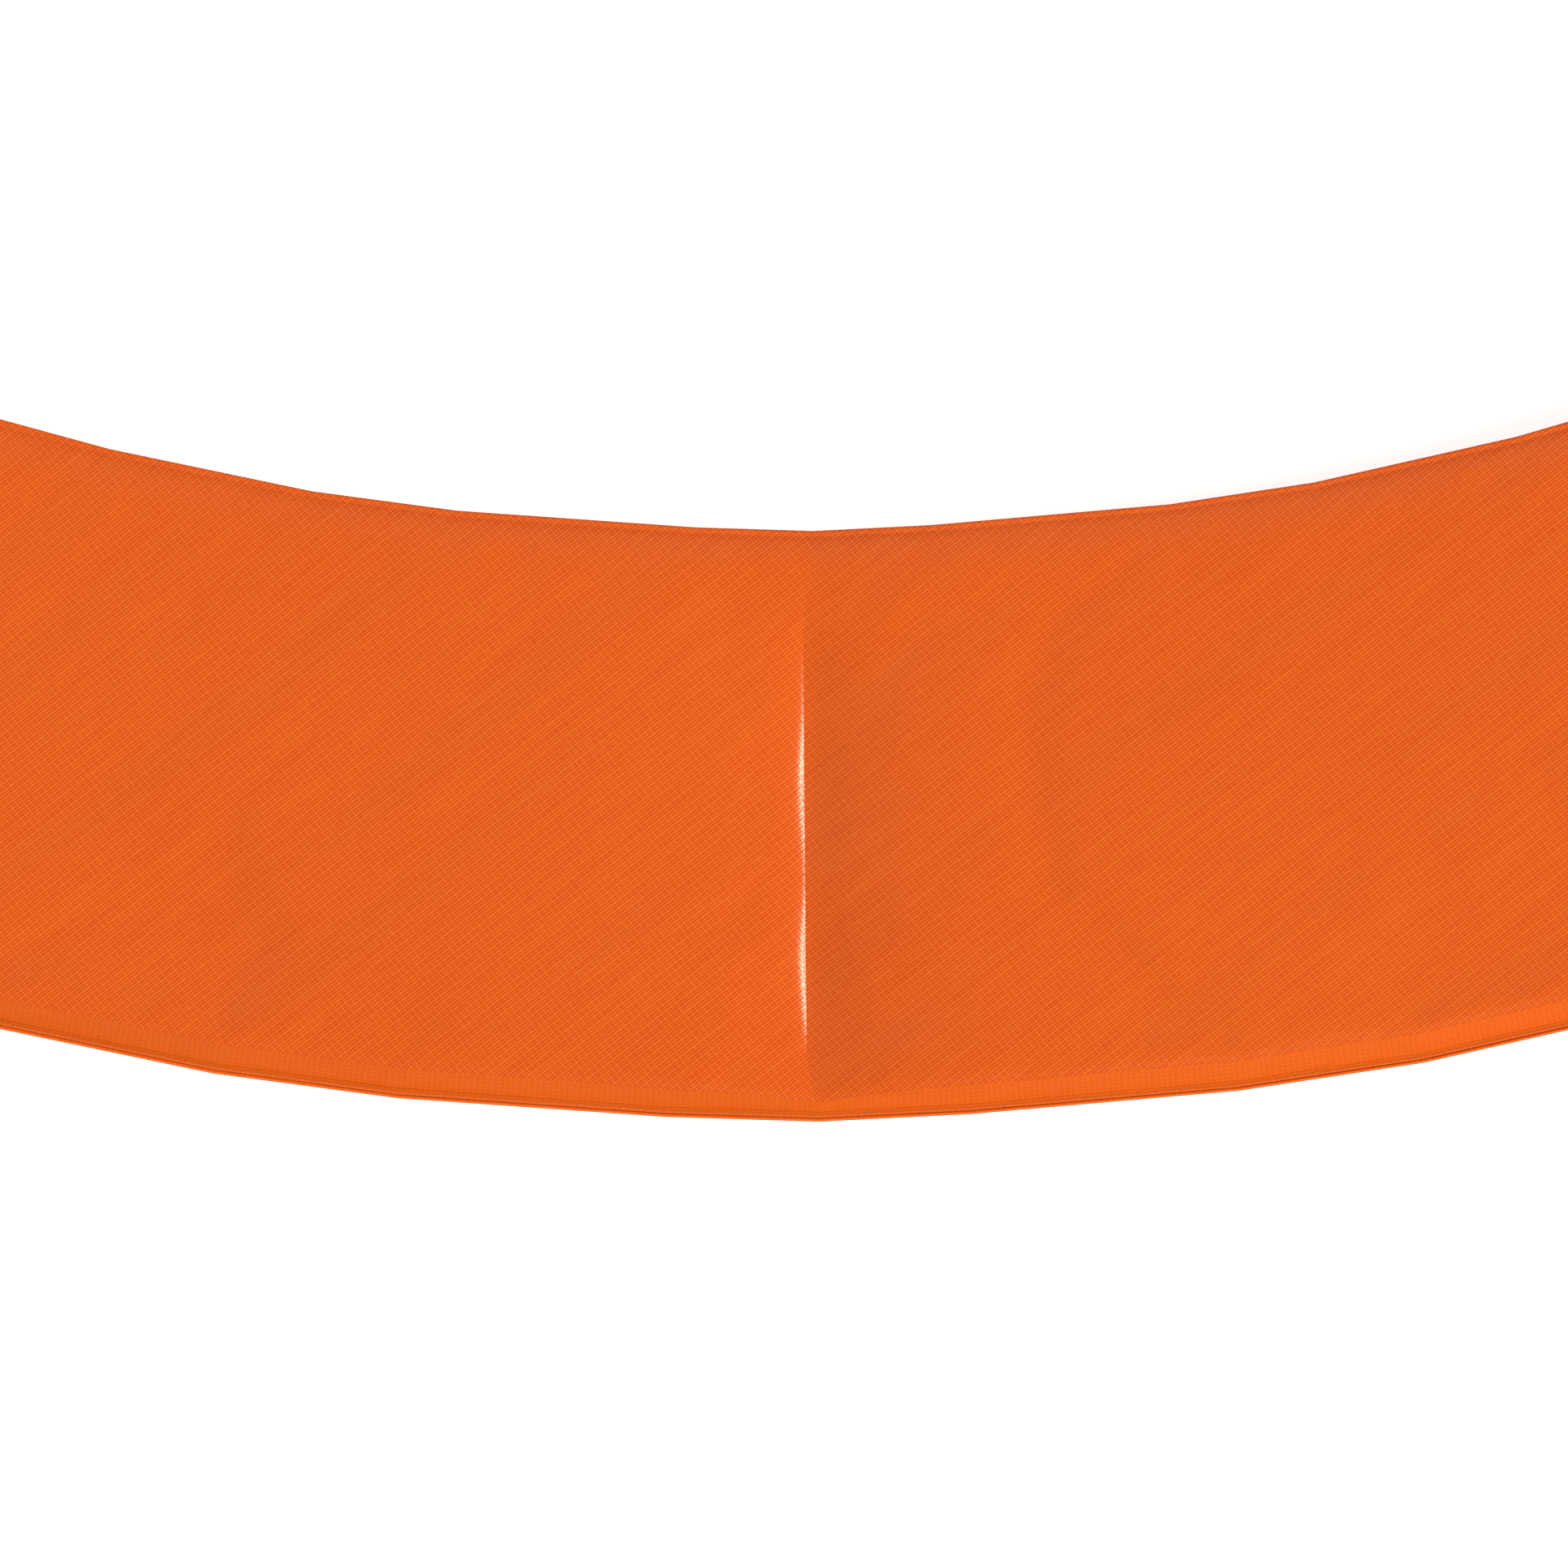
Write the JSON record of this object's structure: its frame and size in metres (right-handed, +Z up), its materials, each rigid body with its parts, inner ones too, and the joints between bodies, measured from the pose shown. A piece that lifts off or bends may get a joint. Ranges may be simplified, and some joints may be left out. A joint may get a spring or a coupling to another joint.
{
  "type": "trampoline safety pad",
  "caption": "Flat foam-filled ring of woven plastic fabric that covers a round trampoline's springs, with pinched radial seams, a corded outer hem and hooked elastic straps.",
  "frame": {"origin": "centre of the ring, on the floor plane under the pad", "axes": "+Z up out of the top cover, -Y towards the front seam, +X to the right; the ring folds in half about the X axis"},
  "size_m": [3.05, 3.05, 0.02],
  "materials": {
    "cover_fabric": "glossy woven plastic tape, orange",
    "hem_binding": "folded woven plastic binding with a corded edge, orange",
    "base_sheet": "matt black woven plastic sheet",
    "foam": "closed-cell polyethylene foam, white",
    "strap_webbing": "black elastic webbing",
    "hook_metal": "zinc-plated steel"
  },
  "bodies": {
    "front_half": {"top_cover_1": "cover_fabric", "foam_insert_1": "foam", "bottom_cover_1": "base_sheet", "outer_hem_1": "hem_binding", "seam_web_1": "cover_fabric", "top_cover_2": "cover_fabric", "foam_insert_2": "foam", "bottom_cover_2": "base_sheet", "outer_hem_2": "hem_binding", "seam_web_2": "cover_fabric", "top_cover_7": "cover_fabric", "foam_insert_7": "foam", "bottom_cover_7": "base_sheet", "outer_hem_7": "hem_binding", "top_cover_8": "cover_fabric", "foam_insert_8": "foam", "bottom_cover_8": "base_sheet", "outer_hem_8": "hem_binding", "seam_web_8": "cover_fabric", "fold_web_front": "cover_fabric", "strap_patches_front": "strap_webbing"},
    "back_half": {"top_cover_3": "cover_fabric", "foam_insert_3": "foam", "bottom_cover_3": "base_sheet", "outer_hem_3": "hem_binding", "top_cover_4": "cover_fabric", "foam_insert_4": "foam", "bottom_cover_4": "base_sheet", "outer_hem_4": "hem_binding", "seam_web_4": "cover_fabric", "top_cover_5": "cover_fabric", "foam_insert_5": "foam", "bottom_cover_5": "base_sheet", "outer_hem_5": "hem_binding", "seam_web_5": "cover_fabric", "top_cover_6": "cover_fabric", "foam_insert_6": "foam", "bottom_cover_6": "base_sheet", "outer_hem_6": "hem_binding", "seam_web_6": "cover_fabric", "fold_web_back": "cover_fabric", "strap_patches_back": "strap_webbing"},
    "strap_1": {"elastic_strap_1": "strap_webbing"},
    "hook_1": {"strap_hook_1": "hook_metal"},
    "strap_2": {"elastic_strap_2": "strap_webbing"},
    "hook_2": {"strap_hook_2": "hook_metal"},
    "strap_3": {"elastic_strap_3": "strap_webbing"},
    "hook_3": {"strap_hook_3": "hook_metal"},
    "strap_4": {"elastic_strap_4": "strap_webbing"},
    "hook_4": {"strap_hook_4": "hook_metal"},
    "strap_5": {"elastic_strap_5": "strap_webbing"},
    "hook_5": {"strap_hook_5": "hook_metal"},
    "strap_6": {"elastic_strap_6": "strap_webbing"},
    "hook_6": {"strap_hook_6": "hook_metal"},
    "strap_7": {"elastic_strap_7": "strap_webbing"},
    "hook_7": {"strap_hook_7": "hook_metal"},
    "strap_8": {"elastic_strap_8": "strap_webbing"},
    "hook_8": {"strap_hook_8": "hook_metal"}
  },
  "joints": [
    {"name": "half_fold", "type": "hinge", "parent": "front_half", "child": "back_half", "pos_m": [0, 0, -0.0002], "axis": [1, 0, 0], "range_deg": [-179, 0]},
    {"name": "strap_swing_1", "type": "hinge", "parent": "front_half", "child": "strap_1", "pos_m": [0.56128, -1.35505, 0.002], "axis": [-0.9239, -0.3827, 0], "range_deg": [0, 150]},
    {"name": "hook_swing_1", "type": "hinge", "parent": "strap_1", "child": "hook_1", "pos_m": [0.51919, -1.25343, 0.002], "axis": [-0.9239, -0.3827, 0], "range_deg": [0, 90]},
    {"name": "strap_swing_2", "type": "hinge", "parent": "front_half", "child": "strap_2", "pos_m": [1.35505, -0.56128, 0.002], "axis": [-0.3827, -0.9239, 0], "range_deg": [0, 150]},
    {"name": "hook_swing_2", "type": "hinge", "parent": "strap_2", "child": "hook_2", "pos_m": [1.25343, -0.51919, 0.002], "axis": [-0.3827, -0.9239, 0], "range_deg": [0, 90]},
    {"name": "strap_swing_3", "type": "hinge", "parent": "back_half", "child": "strap_3", "pos_m": [1.35505, 0.56128, 0.002], "axis": [0.3827, -0.9239, 0], "range_deg": [0, 150]},
    {"name": "hook_swing_3", "type": "hinge", "parent": "strap_3", "child": "hook_3", "pos_m": [1.25343, 0.51919, 0.002], "axis": [0.3827, -0.9239, 0], "range_deg": [0, 90]},
    {"name": "strap_swing_4", "type": "hinge", "parent": "back_half", "child": "strap_4", "pos_m": [0.56128, 1.35505, 0.002], "axis": [0.9239, -0.3827, 0], "range_deg": [0, 150]},
    {"name": "hook_swing_4", "type": "hinge", "parent": "strap_4", "child": "hook_4", "pos_m": [0.51919, 1.25343, 0.002], "axis": [0.9239, -0.3827, 0], "range_deg": [0, 90]},
    {"name": "strap_swing_5", "type": "hinge", "parent": "back_half", "child": "strap_5", "pos_m": [-0.56128, 1.35505, 0.002], "axis": [0.9239, 0.3827, 0], "range_deg": [0, 150]},
    {"name": "hook_swing_5", "type": "hinge", "parent": "strap_5", "child": "hook_5", "pos_m": [-0.51919, 1.25343, 0.002], "axis": [0.9239, 0.3827, 0], "range_deg": [0, 90]},
    {"name": "strap_swing_6", "type": "hinge", "parent": "back_half", "child": "strap_6", "pos_m": [-1.35505, 0.56128, 0.002], "axis": [0.3827, 0.9239, 0], "range_deg": [0, 150]},
    {"name": "hook_swing_6", "type": "hinge", "parent": "strap_6", "child": "hook_6", "pos_m": [-1.25343, 0.51919, 0.002], "axis": [0.3827, 0.9239, 0], "range_deg": [0, 90]},
    {"name": "strap_swing_7", "type": "hinge", "parent": "front_half", "child": "strap_7", "pos_m": [-1.35505, -0.56128, 0.002], "axis": [-0.3827, 0.9239, 0], "range_deg": [0, 150]},
    {"name": "hook_swing_7", "type": "hinge", "parent": "strap_7", "child": "hook_7", "pos_m": [-1.25343, -0.51919, 0.002], "axis": [-0.3827, 0.9239, 0], "range_deg": [0, 90]},
    {"name": "strap_swing_8", "type": "hinge", "parent": "front_half", "child": "strap_8", "pos_m": [-0.56128, -1.35505, 0.002], "axis": [-0.9239, 0.3827, 0], "range_deg": [0, 150]},
    {"name": "hook_swing_8", "type": "hinge", "parent": "strap_8", "child": "hook_8", "pos_m": [-0.51919, -1.25343, 0.002], "axis": [-0.9239, 0.3827, 0], "range_deg": [0, 90]}
  ]
}
